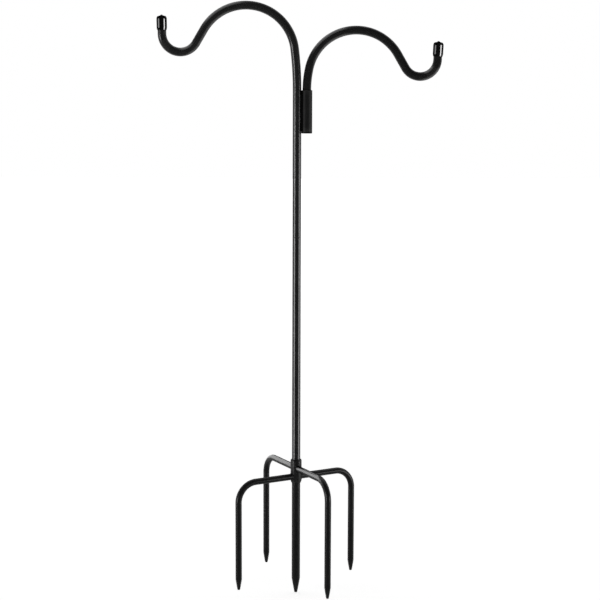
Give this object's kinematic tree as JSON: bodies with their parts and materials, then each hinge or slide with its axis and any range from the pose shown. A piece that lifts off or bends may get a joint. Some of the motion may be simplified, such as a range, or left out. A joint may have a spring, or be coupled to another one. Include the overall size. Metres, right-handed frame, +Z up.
{
  "type": "double shepherd's hook bird feeder pole",
  "caption": "Bird feeder pole with a fixed arched hook, a second swivelling hook in a side socket, a slip-jointed tube pole and a forked push-in ground base.",
  "frame": {"origin": "pole axis at the soil line, which is the underside of the hub collar where the ground spike leaves it", "axes": "+Z up along the pole; +X towards the side hook, -X towards the main hook; -Y is the front"},
  "size_m": [0.5324, 0.2408, 1.1299],
  "materials": {
    "pole_coat": "black powder coat, satin",
    "socket_coat": "black powder coat, satin to matte",
    "base_coat": "black powder coat, matte",
    "cap_vinyl": "glossy dipped vinyl",
    "plated_steel": "zinc-plated, hidden inside the tubes"
  },
  "bodies": {
    "base": {"hub_collar": "base_coat", "centre_spike": "base_coat", "spike_weld": "base_coat", "pole_spigot": "plated_steel", "lower_fork": "base_coat", "upper_fork": "base_coat", "lower_fork_welds": "base_coat", "upper_fork_welds": "base_coat"},
    "pole": {"lower_pole": "pole_coat", "pole_coupler": "plated_steel"},
    "hook_section": {"main_hook": "pole_coat", "main_hook_cap": "cap_vinyl", "side_socket": "socket_coat", "socket_plug": "socket_coat", "socket_weld_front": "socket_coat", "socket_weld_rear": "socket_coat"},
    "side_arm": {"side_hook": "pole_coat", "side_hook_cap": "cap_vinyl"}
  },
  "joints": [
    {"name": "pole_lift", "type": "slide", "parent": "base", "child": "pole", "axis": [0, 0, 1], "range_m": [0, 0.08]},
    {"name": "hook_swivel", "type": "hinge", "parent": "pole", "child": "hook_section", "pos_m": [0, 0, 0.472], "axis": [0, 0, 1], "continuous": true},
    {"name": "side_hook_swivel", "type": "hinge", "parent": "hook_section", "child": "side_arm", "pos_m": [0.0182, 0, 0.7], "axis": [0, 0, 1], "range_deg": [-120, 120]}
  ]
}
